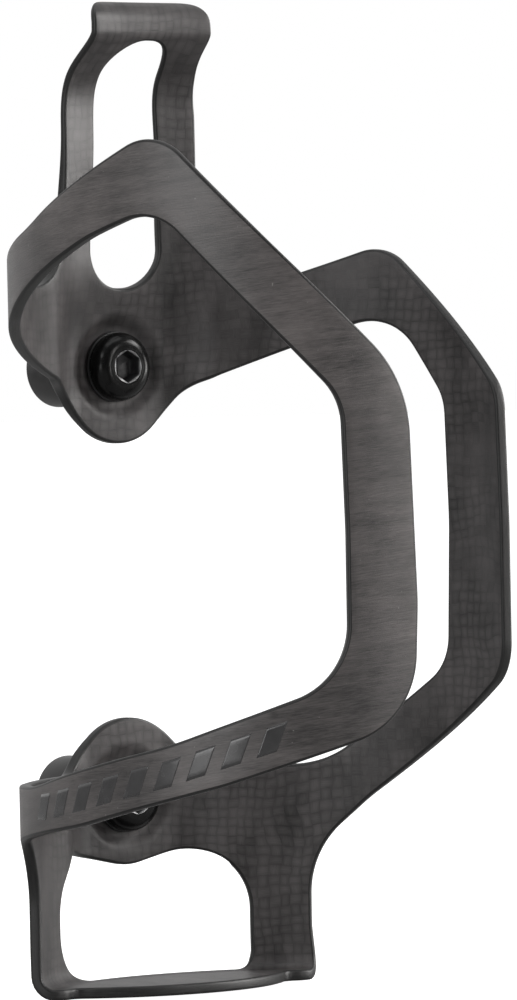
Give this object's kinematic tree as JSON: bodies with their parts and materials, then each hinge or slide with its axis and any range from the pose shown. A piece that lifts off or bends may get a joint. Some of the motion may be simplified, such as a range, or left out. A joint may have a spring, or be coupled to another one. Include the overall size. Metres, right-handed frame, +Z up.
{
  "type": "water bottle cage",
  "caption": "Side-entry carbon water bottle cage that grips a round bottle, bolted through two standoffs.",
  "frame": {"origin": "centre of the lower standoff's rear face, where the lower bolt's axis meets the bicycle frame", "axes": "+Z up along the bottle, +Y back towards the bicycle frame, +X to the right seen from the bottle side"},
  "size_m": [0.0772, 0.0933, 0.1458],
  "materials": {
    "carbon": "satin",
    "boss": "satin",
    "black_steel": "semi-gloss"
  },
  "bodies": {
    "cage": {"hook_lip": "carbon", "hook_leg_left": "carbon", "hook_leg_right": "carbon", "upper_back_plate": "carbon", "left_arm_upper": "carbon", "left_arm_bar": "carbon", "left_arm_lower": "carbon", "right_arm_upper": "carbon", "right_arm_bar": "carbon", "right_arm_lower": "carbon", "lower_back_plate": "carbon", "left_strut": "carbon", "right_strut": "carbon", "bottom_shelf": "carbon", "lower_standoff": "boss", "upper_standoff": "boss"},
    "lower_washer": {"lower_washer": "black_steel"},
    "lower_bolt": {"lower_bolt": "black_steel"},
    "upper_washer": {"upper_washer": "black_steel"},
    "upper_bolt": {"upper_bolt": "black_steel"}
  },
  "joints": [
    {"name": "lower_bolt_travel", "type": "slide", "parent": "cage", "child": "lower_washer", "axis": [0, -1, 0], "range_m": [0, 0.012]},
    {"name": "lower_bolt_turn", "type": "hinge", "parent": "lower_washer", "child": "lower_bolt", "pos_m": [0, -0.01, 0], "axis": [0, -1, 0], "range_deg": [0, 5440]},
    {"name": "upper_bolt_travel", "type": "slide", "parent": "cage", "child": "upper_washer", "axis": [0, -1, 0], "range_m": [0, 0.012]},
    {"name": "upper_bolt_turn", "type": "hinge", "parent": "upper_washer", "child": "upper_bolt", "pos_m": [0, -0.01, 0.064], "axis": [0, -1, 0], "range_deg": [0, 5440]}
  ],
  "couplings": [
    {"joint": "lower_bolt_turn", "follows": "lower_bolt_travel", "rad_per_m": 7854},
    {"joint": "upper_bolt_turn", "follows": "upper_bolt_travel", "rad_per_m": 7854}
  ]
}
